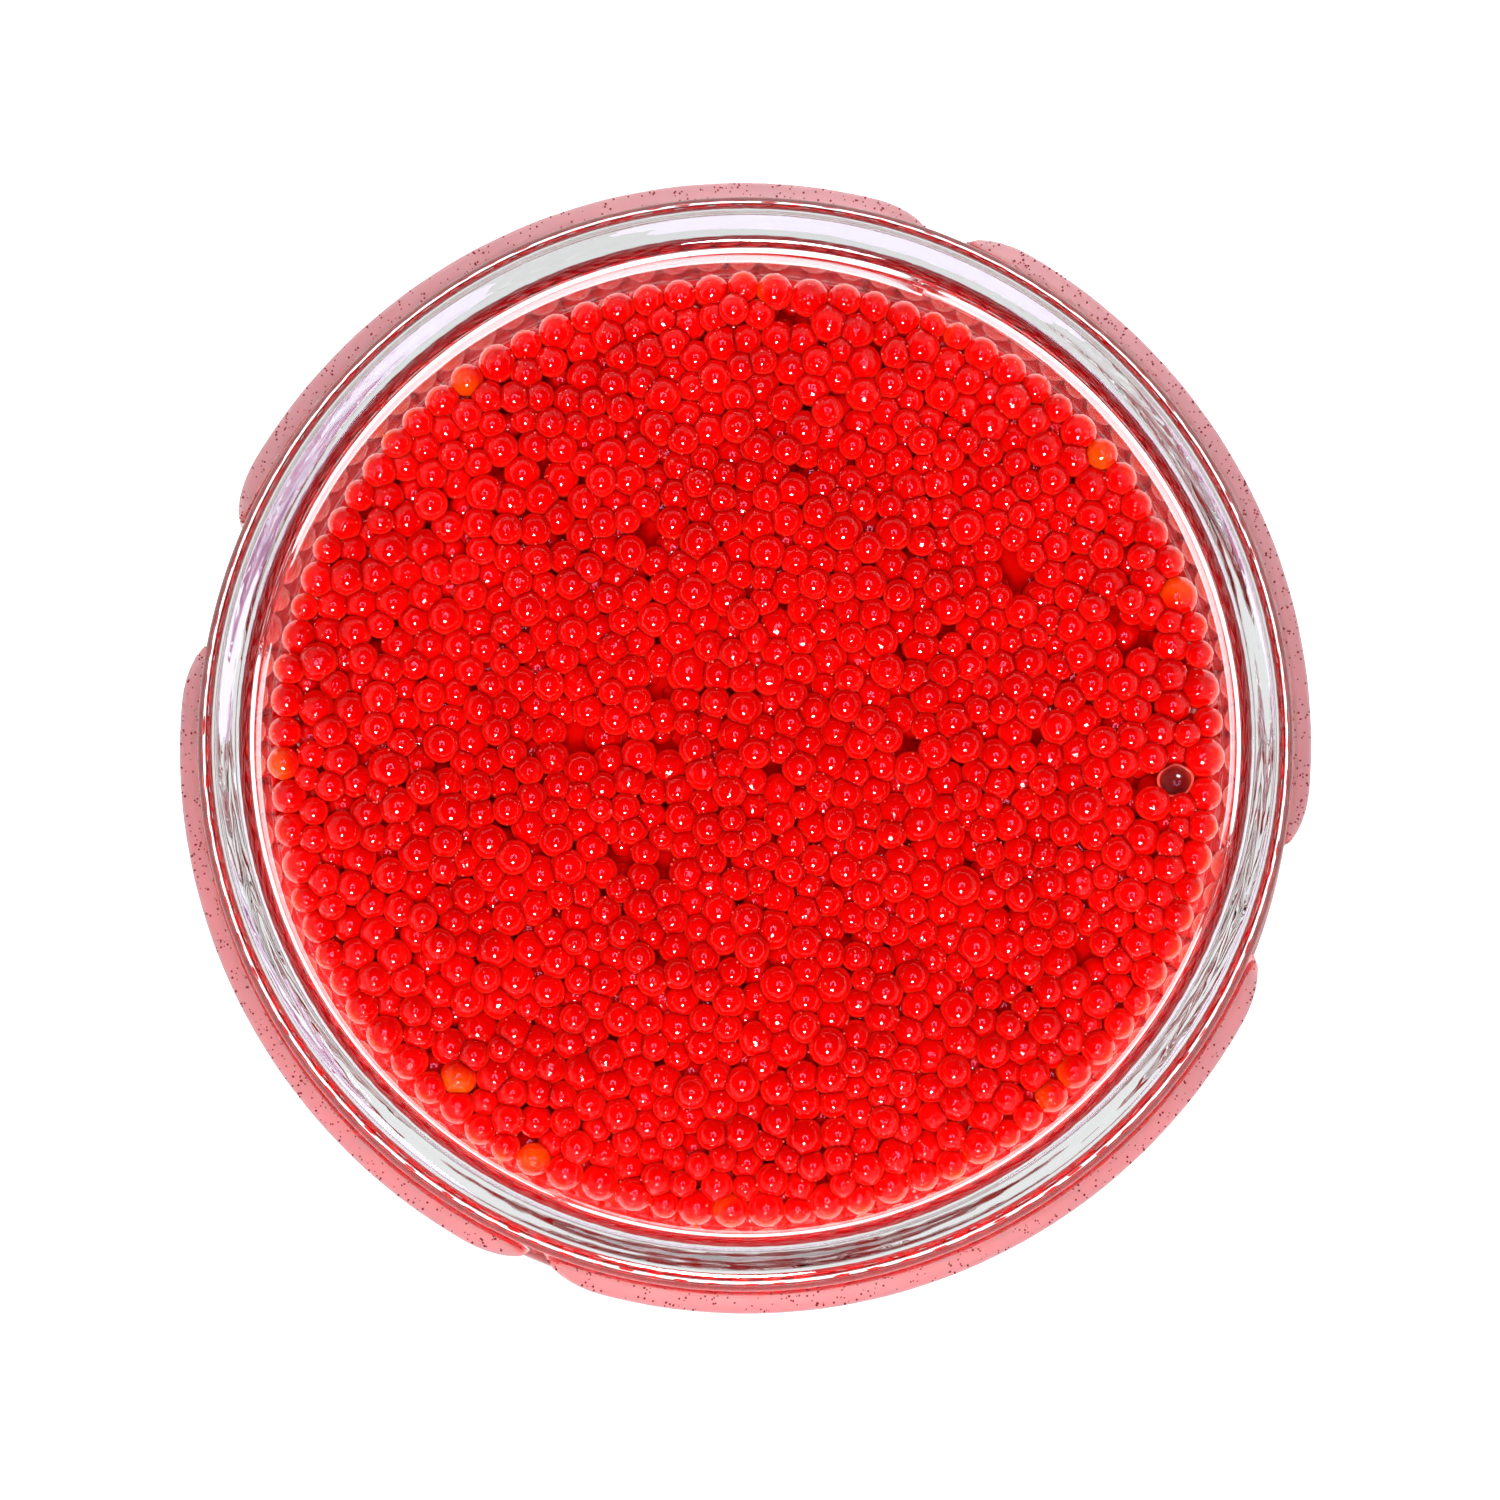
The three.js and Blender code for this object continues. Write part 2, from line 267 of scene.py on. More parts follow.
class RoeSizes(PropertyGroup):
    """Sizes and colours of the eggs."""
    egg_diameter: FloatProperty(
        name="Egg diameter", description="Mean diameter of an egg", default=1.75 * MM, unit="LENGTH")
    spread: FloatProperty(
        name="Spread", description="How far egg sizes differ, as a share of the mean", default=0.1)
    seed: IntProperty(name="Seed", description="Start of the random draws", default=58)
    # Deep and bright red are mixed by chance and by painted shade in the middle of each egg and towards the
    # axis
    deep: FloatVectorProperty(
        name="Deep red", description="Colour of the darkest eggs", default=linear("#CC0000")[:3], size=3,
        subtype="COLOR")
    bright: FloatVectorProperty(
        name="Bright red", description="Colour of the brightest eggs", default=linear("#FA0403")[:3], size=3,
        subtype="COLOR")
    # Painted highlight: the fine pale line at an egg's rim, where the membrane curves away
    edge: FloatVectorProperty(
        name="Edge", description="Colour of the fine line at an egg's edge",
        default=linear("#FF2A1C")[:3], size=3, subtype="COLOR")
    # Painted shade: the colour that the roe is darkened towards deep in the jar
    shade: FloatVectorProperty(
        name="Shade", description="Colour of the roe deep in the jar", default=linear("#80040C")[:3], size=3,
        subtype="COLOR")
    # Also the colour of the painted glow of light through the glass near the bore
    amber: FloatVectorProperty(
        name="Egg amber", description="Colour of the few orange eggs", default=linear("#FF6400")[:3], size=3,
        subtype="COLOR")


def add_node(tree, kind, settings=None, values=None, links=None):
    """Adds a node, sets its properties and its sockets' values, and links its sockets to other outputs."""
    node = tree.nodes.new(kind)
    for name, value in (settings or {}).items():
        setattr(node, name, value)
    for name, value in (values or {}).items():
        node.inputs[name].default_value = value
    for name, source in (links or {}).items():
        tree.links.new(node.inputs[name], source)
    return node


def new_material(name):
    """A material with an empty node tree, and the tree."""
    material = bpy.data.materials.new(name)
    material.use_nodes = True
    material.node_tree.nodes.clear()
    return material, material.node_tree


def soda_lime_glass():
    """Fire-polished soda-lime glass: clear, IOR 1.52, so its rounded lip and threads bend what lies behind.
    Its slight ripples are 0.4 mm wide and five times as long round the jar. The leads are dull, and tinted
    pink by a painted reflection of the red roe that they bend into view. Lamps shine through the glass almost
    without a shadow, so what the jar holds is lit from its sides too."""
    material, tree = new_material("soda_lime_glass")
    flow = add_node(tree, "ShaderNodeAttribute", {"attribute_name": "flow"})
    lead = add_node(tree, "ShaderNodeAttribute", {"attribute_name": "lead"})
    waves = add_node(tree, "ShaderNodeTexNoise", values={"Scale": 1 / (0.4 * MM), "Detail": 1.0}, links={
        "Vector": flow.outputs["Vector"],
    })
    bump = add_node(tree, "ShaderNodeBump", values={"Distance": 0.002 * MM, "Strength": 1.0}, links={
        "Height": waves.outputs["Fac"],
    })
    # Painted reflection: the leads' pink stands in for the red roe that they bend into view
    tint = add_node(tree, "ShaderNodeMix", {"data_type": "RGBA"}, values={
        "A": linear("#F7FBFB"), "B": linear("#FFD2D8"),
    }, links={"Factor": lead.outputs["Fac"]})
    dull = add_node(tree, "ShaderNodeMath", {"operation": "MULTIPLY"}, values={1: 0.5}, links={
        0: lead.outputs["Fac"],
    })
    glass = add_node(tree, "ShaderNodeBsdfPrincipled", values={
        "IOR": 1.52, "Transmission Weight": 1.0,
    }, links={
        "Base Color": tint.outputs["Result"], "Roughness": dull.outputs["Value"],
        "Normal": bump.outputs["Normal"],
    })
    through = add_node(tree, "ShaderNodeBsdfTransparent", values={"Color": linear("#F2F7F7")})
    path = add_node(tree, "ShaderNodeLightPath")
    mix = add_node(tree, "ShaderNodeMixShader", links={"Fac": path.outputs["Is Shadow Ray"]})
    tree.links.new(mix.inputs[1], glass.outputs["BSDF"])
    tree.links.new(mix.inputs[2], through.outputs["BSDF"])
    add_node(tree, "ShaderNodeOutputMaterial", links={"Surface": mix.outputs["Shader"]})
    return material


def painted_depth_shade(tree, place, colour, roe, share):
    """Painted shade: mixes the roe's shade colour into a colour by a smoothstep with depth, up to a share, for
    lack of light.
    """
    height = add_node(tree, "ShaderNodeSeparateXYZ", links={0: place.outputs["Object"]})
    depth = add_node(tree, "ShaderNodeMapRange", {"interpolation_type": "SMOOTHSTEP"}, values={
        "From Min": PAINTED_SHADE_FROM, "From Max": PAINTED_SHADE_TO, "To Max": share,
    }, links={"Value": height.outputs["Z"]})
    return add_node(tree, "ShaderNodeMix", {"data_type": "RGBA"}, values={"B": [*roe.shade, 1]}, links={
        "Factor": depth.outputs["Result"], "A": colour.outputs["Result"],
    })


def egg_membrane(roe):
    """Salted fish egg: a thin wet membrane round clear red jelly. Painted shade makes it deepest red in the
    middle, where one looks through the thickest jelly, and brighter towards its edge, and a painted highlight
    makes it palest in a fine line where the membrane curves away. Weak painted arcs cross it, the pale rims of
    eggs that lie deeper, painted as if seen through it. Painted shade also darkens it lower in the jar. It
    shines like water, broken in places where the membrane is wrinkled."""
    material, tree = new_material("wet_egg_membrane")
    smooth = {"interpolation_type": "SMOOTHSTEP"}
    place = add_node(tree, "ShaderNodeTexCoord")
    tone_and_painted_shade = add_node(tree, "ShaderNodeAttribute", {"attribute_name": "tone_and_painted_shade"})
    amber = add_node(tree, "ShaderNodeAttribute", {"attribute_name": "amber"})
    middle = add_node(tree, "ShaderNodeAttribute", {"attribute_name": "middle"})

    # Jelly: deeper red by painted shade in the middle of each egg, in patches two or three eggs wide, and by
    # each egg's own random depth of red, with painted shade towards the axis
    painted_middle_shade = add_node(tree, "ShaderNodeMapRange", smooth, values={
        "From Min": 0.3, "From Max": 0.95, "To Min": 0.0, "To Max": 0.6,
    }, links={"Value": middle.outputs["Fac"]})
    patches = add_node(tree, "ShaderNodeTexNoise", values={
        "Scale": 1 / (2.4 * roe.egg_diameter), "Detail": 2.0,
    }, links={"Vector": place.outputs["Object"]})
    uneven = add_node(tree, "ShaderNodeMapRange", smooth, values={
        "From Min": 0.4, "From Max": 0.65, "To Min": -0.15, "To Max": 0.35,
    }, links={"Value": patches.outputs["Fac"]})
    own = add_node(tree, "ShaderNodeMath", {"operation": "MULTIPLY_ADD"}, values={1: 0.3}, links={
        0: tone_and_painted_shade.outputs["Fac"], 2: painted_middle_shade.outputs["Result"],
    })
    red_depth_with_painted_shade = add_node(tree, "ShaderNodeMath", {"operation": "ADD", "use_clamp": True}, links={
        0: own.outputs["Value"], 1: uneven.outputs["Result"],
    })
    jelly = add_node(tree, "ShaderNodeMix", {"data_type": "RGBA"}, values={
        "A": [*roe.bright, 1], "B": [*roe.deep, 1],
    }, links={"Factor": red_depth_with_painted_shade.outputs["Value"]})

    # Painted highlight lines: the egg's own pale rim, and shells one egg radius round strewn points for the
    # painted rims of eggs behind it
    painted_own_rim = add_node(tree, "ShaderNodeMapRange", smooth, values={
        "From Min": 0.6, "From Max": 0.46, "To Max": 0.5,
    }, links={"Value": middle.outputs["Fac"]})
    behind = add_node(tree, "ShaderNodeTexVoronoi", values={"Scale": 1 / roe.egg_diameter}, links={
        "Vector": place.outputs["Object"],
    })
    shell = add_node(tree, "ShaderNodeMath", {"operation": "COMPARE"}, values={1: 0.5, 2: 0.018}, links={
        0: behind.outputs["Distance"],
    })
    painted_deeper_rims = add_node(tree, "ShaderNodeMath", {"operation": "MULTIPLY"}, values={1: 0.2}, links={
        0: shell.outputs["Value"],
    })
    painted_rims = add_node(tree, "ShaderNodeMath", {"operation": "MAXIMUM"}, links={
        0: painted_own_rim.outputs["Result"], 1: painted_deeper_rims.outputs["Value"],
    })
    painted_rim_colour = add_node(tree, "ShaderNodeMix", {"data_type": "RGBA"}, values={
        "B": [*roe.edge, 1],
    }, links={"Factor": painted_rims.outputs["Value"], "A": jelly.outputs["Result"]})
    # Amber eggs, and the painted glow of light through the glass near the bore
    colour = add_node(tree, "ShaderNodeMix", {"data_type": "RGBA"}, values={
        "B": [*roe.amber, 1],
    }, links={"Factor": amber.outputs["Fac"], "A": painted_rim_colour.outputs["Result"]})

    # Wrinkles a third of a millimetre wide, strong only in patches
    wrinkled = add_node(tree, "ShaderNodeTexNoise", values={
        "Scale": 1 / (1.7 * roe.egg_diameter), "Detail": 0.0,
    }, links={"Vector": place.outputs["Object"]})
    strength = add_node(tree, "ShaderNodeMapRange", smooth, values={
        "From Min": 0.56, "From Max": 0.68, "To Min": 0.03, "To Max": 1.0,
    }, links={"Value": wrinkled.outputs["Fac"]})
    ripple = add_node(tree, "ShaderNodeTexNoise", values={"Scale": 1 / (0.32 * MM), "Detail": 1.0}, links={
        "Vector": place.outputs["Object"],
    })
    bump = add_node(tree, "ShaderNodeBump", values={"Distance": 0.06 * MM}, links={
        "Height": ripple.outputs["Fac"], "Strength": strength.outputs["Result"],
    })
    # Painted shade: the colour darkens lower in the jar
    with_painted_shade = painted_depth_shade(tree, place, colour, roe, EGGS_PAINTED_SHADE)
    skin = add_node(tree, "ShaderNodeBsdfPrincipled", values={
        "Roughness": 0.05, "IOR": 1.5, "Subsurface Weight": 1.0, "Subsurface Radius": (1.0, 0.12, 0.08),
        "Subsurface Scale": 1.0 * MM,
    }, links={"Base Color": with_painted_shade.outputs["Result"], "Normal": bump.outputs["Normal"]})
    add_node(tree, "ShaderNodeOutputMaterial", links={"Surface": skin.outputs["BSDF"]})
    return material


def brine_drops_painted_glint(roe):
    """Drops of brine and scraps of membrane on the eggs: each is a speck with a glint, coloured pale pink as a
    painted highlight.
    """
    material, tree = new_material("brine_drops_painted_glint")
    amber = add_node(tree, "ShaderNodeAttribute", {"attribute_name": "amber"})
    # Painted highlight: the drops' pale pink stands in for their glints
    colour = add_node(tree, "ShaderNodeMix", {"data_type": "RGBA"}, values={
        "A": linear("#FF5A50"), "B": [*roe.amber, 1],
    }, links={"Factor": amber.outputs["Fac"]})
    drop = add_node(tree, "ShaderNodeBsdfPrincipled", values={"Roughness": 0.08, "IOR": 1.36}, links={
        "Base Color": colour.outputs["Result"],
    })
    add_node(tree, "ShaderNodeOutputMaterial", links={"Surface": drop.outputs["BSDF"]})
    return material


def dried_brine():
    """Brine dried to dark red specks on the glass."""
    material, tree = new_material("dried_brine")
    speck = add_node(tree, "ShaderNodeBsdfPrincipled", values={
        "Base Color": linear("#7A1018"), "Roughness": 0.5, "IOR": 1.4,
    })
    add_node(tree, "ShaderNodeOutputMaterial", links={"Surface": speck.outputs["BSDF"]})
    return material


def spent_membrane_painted_light():
    """Skin of a burst egg, with painted light: painted shade makes it dark brown red where it is hollow, and a
    painted glow makes it pale orange at the brim, where light passes the thin skin."""
    material, tree = new_material("spent_membrane_painted_light")
    brim = add_node(tree, "ShaderNodeAttribute", {"attribute_name": "brim"})
    colour = add_node(tree, "ShaderNodeMix", {"data_type": "RGBA"}, values={
        "A": linear("#6A0A08"), "B": linear("#F8503A"),
    }, links={"Factor": brim.outputs["Fac"]})
    skin = add_node(tree, "ShaderNodeBsdfPrincipled", values={"Roughness": 0.15, "IOR": 1.4}, links={
        "Base Color": colour.outputs["Result"],
    })
    add_node(tree, "ShaderNodeOutputMaterial", links={"Surface": skin.outputs["BSDF"]})
    return material


def packed_roe(roe):
    """Roe packed too deep to see egg by egg: dull red jelly and brine, in cells as wide as an egg, darkened
    lower in the jar by painted shade.
    """
    material, tree = new_material("packed_roe")
    place = add_node(tree, "ShaderNodeTexCoord")
    cells = add_node(tree, "ShaderNodeTexVoronoi", values={"Scale": 1 / roe.egg_diameter}, links={
        "Vector": place.outputs["Object"],
    })
    colour = add_node(tree, "ShaderNodeMix", {"data_type": "RGBA"}, values={
        "A": linear("#E80604"), "B": linear("#C80402"),
    }, links={"Factor": cells.outputs["Distance"]})
    # Painted shade darkens its colour lower in the jar
    jelly = add_node(tree, "ShaderNodeBsdfPrincipled", values={
        "Roughness": 0.4, "IOR": 1.37, "Specular IOR Level": 0.0, "Subsurface Weight": 1.0,
        "Subsurface Radius": (1.0, 0.12, 0.08), "Subsurface Scale": 1.5 * MM,
    }, links={"Base Color": painted_depth_shade(tree, place, colour, roe, CORE_PAINTED_SHADE).outputs["Result"]})
    add_node(tree, "ShaderNodeOutputMaterial", links={"Surface": jelly.outputs["BSDF"]})
    return material


def line(start, end, steps):
    """Points evenly along a straight line of the profile, without its first."""
    share = np.arange(1, steps + 1)[:, None] / steps
    return np.asarray(start) * (1 - share) + np.asarray(end) * share


def arc(centre, radius, start, end, steps):
    """Points evenly along an arc of the profile, from one angle in degrees to another, without its first."""
    angle = np.radians(start + (end - start) * np.arange(1, steps + 1) / steps)
    return np.asarray(centre) + radius * np.stack([np.cos(angle), np.sin(angle)], axis=1)


def s_bend(centre, radius, next_x, next_radius, down, steps):
    """Two touching arcs between two upright lines: the second centre lies where the radii just add up."""
    across = next_x - centre[0]
    along = math.sqrt((radius + next_radius) ** 2 - across ** 2) * (-1 if down else 1)
    turn = math.degrees(math.atan2(along, across))
    return np.concatenate([
        arc(centre, radius, -180 if down else 0, turn, steps),
        arc((next_x, centre[1] + along), next_radius, turn + 180, 0 if down else 180, steps),
    ])


def outer_profile(jar):
    """Radius and height from the axis under the base, round the heel, up the body and the neck to the top of
    the lip. The last number of each stretch is its count of steps, and the ring's inside is half a cosine."""
    lip = jar.height - LIP_OUTER_ROUND
    heel = jar.body_radius - HEEL_ROUND
    push_up = np.array([[0.0, PUSH_UP]])
    base = line((0, PUSH_UP), (PUSH_UP_RADIUS, PUSH_UP), 4)
    ring_share = np.arange(1, 9) / 8
    ring = np.stack([
        PUSH_UP_RADIUS + (STANDING_RING_INNER - PUSH_UP_RADIUS) * ring_share,
        PUSH_UP * (0.5 + 0.5 * np.cos(math.pi * ring_share)),
    ], axis=1)
    shoulder = s_bend(
        (jar.body_radius - SHOULDER_ROUND, SHOULDER_HEIGHT), SHOULDER_ROUND,
        jar.neck_radius + NECK_FILLET, NECK_FILLET, False, 9)
    return np.concatenate([
        push_up, base, ring,
        line((STANDING_RING_INNER, 0), (heel, 0), 6),
        arc((heel, HEEL_ROUND), HEEL_ROUND, -90, 0, 12),
        line((jar.body_radius, HEEL_ROUND), (jar.body_radius, SHOULDER_HEIGHT), 16),
        shoulder,
        line(shoulder[-1], (jar.neck_radius, lip), 70),
        arc((jar.neck_radius - LIP_OUTER_ROUND, lip), LIP_OUTER_ROUND, 0, 90, 12),
    ])


def inner_profile(jar):
    """Radius and height from the lip's top, down the bore and the body to the axis on the jar's floor."""
    lip = jar.height - LIP_INNER_ROUND
    inside = jar.body_radius - jar.wall
    heel = jar.floor + INNER_HEEL_ROUND
    land = (jar.neck_radius - LIP_OUTER_ROUND, jar.height)
    bend = s_bend(
        (jar.bore_radius + INNER_NECK_ROUND, INNER_NECK_HEIGHT), INNER_NECK_ROUND,
        inside - INNER_SHOULDER_ROUND, INNER_SHOULDER_ROUND, True, 8)
    return np.concatenate([
        line(land, (jar.bore_radius + LIP_INNER_ROUND, jar.height), 3),
        arc((jar.bore_radius + LIP_INNER_ROUND, lip), LIP_INNER_ROUND, 90, 180, 10),
        line((jar.bore_radius, lip), (jar.bore_radius, INNER_NECK_HEIGHT), 24),
        bend,
        line(bend[-1], (inside, heel), 16),
        arc((inside - INNER_HEEL_ROUND, heel), INNER_HEEL_ROUND, 0, -90, 8),
        line((inside - INNER_HEEL_ROUND, jar.floor), (0, jar.floor + FLOOR_DOME), 8),
    ])


def lead_relief(angle, height, depth):
    """How far the thread leads stand out at an angle in degrees and a height: a smoothstep across each ridge,
    times a quarter ellipse where the lead sinks into the neck at its ends. Each climbs counter-clockwise."""
    relief = np.zeros(np.broadcast_shapes(angle.shape, height.shape))
    for start, end in LEADS:
        length = end - start
        along = (angle - start) % 360
        to_end = np.clip(np.minimum(along, length - along) / LEAD_RAMP, 0, 1)
        swell = np.sqrt(1 - (1 - to_end) ** 2)
        off = np.abs(height - LEAD_LOW_END - LEAD_RISE * along / length)
        share = np.clip((LEAD_HALF_HEIGHT - off) / (LEAD_HALF_HEIGHT - LEAD_CREST_HALF), 0, 1)
        relief = np.maximum(relief, depth * swell * share * share * (3 - 2 * share))
    return relief


def mesh_object(name, points, faces, material, smooth=True):
    """An object at the origin whose mesh has these points and faces."""
    mesh = bpy.data.meshes.new(name)
    mesh.from_pydata(points.tolist(), [], faces.tolist() if isinstance(faces, np.ndarray) else faces)
    mesh.polygons.foreach_set("use_smooth", np.full(len(mesh.polygons), smooth))
    mesh.materials.append(material)
    mesh.update()
    piece = bpy.data.objects.new(name, mesh)
    bpy.context.scene.collection.objects.link(piece)
    return piece


def turned(name, radius, height, material):
    """A solid of revolution from a grid of radii, rows along the profile and columns round the axis, and its
    heights. The first and last rows lie on the axis and shrink to one point each."""
    rows, columns = radius.shape
    angle = np.linspace(0, 2 * math.pi, columns, endpoint=False)
    heights = np.broadcast_to(height, radius.shape)
    grid = np.stack([radius * np.cos(angle), radius * np.sin(angle), heights], axis=2)
    points = np.concatenate([grid[0, :1], grid[1:-1].reshape(-1, 3), grid[-1, :1]])
    column = np.arange(columns)
    after = (column + 1) % columns
    lower = 1 + columns * np.arange(rows - 3)[:, None]
    upper = lower + columns
    quads = np.stack([lower + column, lower + after, upper + after, upper + column], axis=2)
    last = len(points) - 1
    last_ring = 1 + columns * (rows - 3)
    first_fan = np.stack([np.zeros(columns, int), 1 + after, 1 + column], axis=1)
    last_fan = np.stack([np.full(columns, last), last_ring + column, last_ring + after], axis=1)
    faces = quads.reshape(-1, 4).tolist() + first_fan.tolist() + last_fan.tolist()
    return mesh_object(name, points, faces, material)


def roe_level(x, y):
    """Height of the roe's surface: two long waves crossing."""
    k = 2 * math.pi / LEVEL_WAVE_LENGTH
    return ROE_LEVEL + LEVEL_WAVE * (np.sin(k * x + 0.8) + np.sin(k * (0.5 * x + 0.9 * y) - 0.6)) * 0.5


def into_glass(height, touching, pressed):
    """How far the filling reaches into the glass, or stands off it where negative: a smoothstep up from the
    heel and another down to the neck. So it is pressed against the body's wall, and no air shows there."""
    up = np.clip((height - PRESSED_FROM) / PRESS_CHANGE, 0, 1)
    down = np.clip((PRESSED_TO - height) / PRESS_CHANGE, 0, 1)
    share = np.minimum(up * up * (3 - 2 * up), down * down * (3 - 2 * down))
    return touching + (pressed - touching) * share


def ball(cells):
    """A unit ball from the six sides of a cube: an even grid of angles on each side, u and v from -45 to 45
    degrees, where the point (1, tan u, tan v) is pushed out to the ball. Shared points are merged."""
    tan = np.tan(np.radians(np.linspace(-45, 45, cells + 1)))
    u, v = np.meshgrid(tan, tan, indexing="ij")
    side = np.stack([np.ones_like(u), u, v], axis=2).reshape(-1, 3)
    side /= np.linalg.norm(side, axis=1)[:, None]
    i, j = np.meshgrid(np.arange(cells), np.arange(cells), indexing="ij")
    corner = (i * (cells + 1) + j).reshape(-1)
    quads = np.stack([corner, corner + cells + 1, corner + cells + 2, corner + 1], axis=1)
    points, faces = [], []
    for axis in range(3):
        for sign in (1, -1):
            turned_side = np.roll(side * (sign, 1, 1), axis, axis=1)
            faces.append((quads if sign > 0 else quads[:, ::-1]) + len(side) * len(points))
            points.append(turned_side)
    points = np.concatenate(points)
    _, first, back = np.unique(np.round(points, 6), axis=0, return_index=True, return_inverse=True)
    return points[first], back.reshape(-1)[np.concatenate(faces)]


def egg_radii(rng, count, roe):
    """Radii drawn from a bell curve, cut off at two and a half spreads below and four above."""
    draw = np.clip(rng.normal(0, 1, count), -2.5, 4)
    return roe.egg_diameter / 2 * (1 + roe.spread * draw)


def keep_values(piece, per_point):
    """Stores one number for each point of a mesh under each name, for its material to read."""
    for label, values in per_point.items():
        layer = piece.data.attributes.new(label, "FLOAT", "POINT")
        layer.data.foreach_set("value", values.astype(np.float32))


def eggs(name, centres, radii, outward, cells, rng, material, amber, bore):
    """Eggs as one mesh: every ball is turned at random, stretched a little along x, y and z, and placed. The
    attribute middle is how far a point faces outward, from 1 in the middle of the egg to 0 at its edge, and
    the material paints shade and a highlight line by it. Each egg's depth of red is drawn at random, and
    painted shade deepens it towards the axis, by one less the square of the distance from it over the bore's
    radius. Amber shows on one side of an amber egg, and on any egg as a painted glow of light through the
    glass, by the square of how near the bore a point is, close under the roe's level."""
    unit, quads = ball(cells)
    count = len(centres)
    if 2 * len(quads) * count >= MOST_TRIANGLES:
        raise RuntimeError(f"{name} has too many triangles for one piece")
    turn, _ = np.linalg.qr(rng.normal(0, 1, (count, 3, 3)))
    turn *= np.sign(np.linalg.det(turn))[:, None, None]
    stretch = 1 + rng.normal(0, EGG_STRETCH, (count, 1, 3))
    shape = np.einsum("nij,pj->npi", turn, unit) * stretch
    points = (centres[:, None, :] + radii[:, None, None] * shape).reshape(-1, 3)
    faces = (quads[None] + len(unit) * np.arange(count)[:, None, None]).reshape(-1, 4)
    piece = mesh_object(name, points, faces, material)
    # Painted glow: amber near the bore, close under the roe's level, stands in for light through the glass
    painted_glow_near_glass = np.clip((np.hypot(points[:, 0], points[:, 1]) - bore) / PAINTED_GLOW_DEPTH + 1, 0, 1)
    painted_glow_from_above = np.clip((points[:, 2] - ROE_LEVEL) / PAINTED_GLOW_BELOW + 1, 0, 1)
    one_side = np.clip(0.5 + AMBER_SIDED * unit[:, 0], 0, 1)
    # Painted shade: eggs nearer the axis are darker, as less light reaches the middle of the jar
    inner = 1 - np.minimum(np.hypot(centres[:, 0], centres[:, 1]) / bore, 1) ** 2
    keep_values(piece, {
        "tone_and_painted_shade": np.repeat(TONE_CHANCE * rng.random(count) + TONE_PAINTED_AXIS_SHADE * inner, len(unit)),
        "amber": np.maximum(np.outer(amber, one_side).reshape(-1), PAINTED_GLOW * painted_glow_near_glass ** 2 * painted_glow_from_above),
        "middle": np.einsum("nij,pj,ni->np", turn, unit, outward).reshape(-1),
    })
    return piece


def empty_egg(centre, radius, material):
    """A burst egg, only its skin left: a bowl whose inside is a flatter copy of its outside, with an uneven
    brim of two and five waves round it, leaning to one side. The attribute brim is the eighth power of the
    distance from its middle; by it the material paints shade in the hollow and a glow at the brim."""
    slope = np.linspace(0, math.pi / 2, 9)
    share = np.sin(slope)
    depth = -np.cos(slope)
    angle = np.linspace(0, 2 * math.pi, 40, endpoint=False)[None, :]
    out = np.concatenate([share, 0.86 * share[::-1]])[:, None]
    height = np.concatenate([0.8 * depth, 0.55 * depth[::-1] + 0.06])[:, None]
    waves = 1 + out * (0.07 * np.sin(2 * angle + 1) + 0.03 * np.sin(5 * angle))
    lean = 0.12 * out * np.cos(angle - 2.2)
    piece = turned("empty_egg", radius * out * waves, radius * (height + lean), material)
    points = np.array([point.co[:] for point in piece.data.vertices])
    # Painted light: brim lets the material paint the hollow dark and the brim glowing pale
    keep_values(piece, {"brim": (np.hypot(points[:, 0], points[:, 1]) / radius) ** 8})
    piece.data.transform(Matrix.Translation(centre + np.array([0, 0, 0.6 * radius])))
    return piece


def near_pairs(centres, radii, reach):
    """Pairs of eggs closer than their radii together times reach. Their distance squared, in millimetres so
    that single precision does, is |a|^2 + |b|^2 - 2ab."""
    flat = (centres / MM).astype(np.float32)
    size = (flat ** 2).sum(axis=1)
    apart = size[:, None] + size[None, :] - 2 * flat @ flat.T
    limit = (reach * (radii[:, None] + radii[None, :]) / MM).astype(np.float32) ** 2
    first, second = np.nonzero(apart < limit)
    once = first < second
    return first[once], second[once]


def settle(centres, radii, confine, rounds, fall=0.0):
    """Lets soft balls find their places: two that overlap push each other apart along the line between their
    centres, all sink by the fall, and confine puts each back inside the jar. Eggs press into each other by
    1 - PRESS."""
    count = len(centres)
    for _ in range(rounds):
        first, second = near_pairs(centres, radii, NEAR)
        reach = PRESS * (radii[first] + radii[second])
        for _ in range(PUSHES):
            gap = centres[second] - centres[first]
            far = np.maximum(np.linalg.norm(gap, axis=1), TINY)
            push = gap * (PUSH_SHARE * np.maximum(reach - far, 0) / far)[:, None]
            for axis in range(3):
                centres[:, axis] += (np.bincount(second, push[:, axis], count)
                                     - np.bincount(first, push[:, axis], count))
            centres[:, 2] -= fall
            centres = confine(centres, radii)
    return centres


def edge_ring(rng, roe, bore):
    """The chain of eggs along the glass on top, each pressed against the next: x, y and radius. An egg takes
    up twice the arcsine of EDGE_PRESS times its radius over its distance from the axis, and the chain is
    stretched a little so that it closes. More are drawn than it takes. The first is the big egg."""
    radii = egg_radii(rng, EDGE_DRAWS, roe)
    radii[0] = EDGE_EGG_RADIUS
    out = bore + EDGE_INTO_GLASS - radii - EDGE_GAP * rng.random(len(radii)) ** 2
    half = np.arcsin(EDGE_PRESS * radii / out)
    turn = np.concatenate([[0], np.cumsum(half[:-1] + half[1:])])
    count = int(np.searchsorted(turn + half, 2 * math.pi - half[0]))
    turn = turn[:count] * 2 * math.pi / (turn[count - 1] + half[count - 1] + half[0])
    turn += math.radians(EDGE_EGG_TURN)
    out = out[:count]
    return np.stack([out * np.cos(turn), out * np.sin(turn), radii[:count]], axis=1)


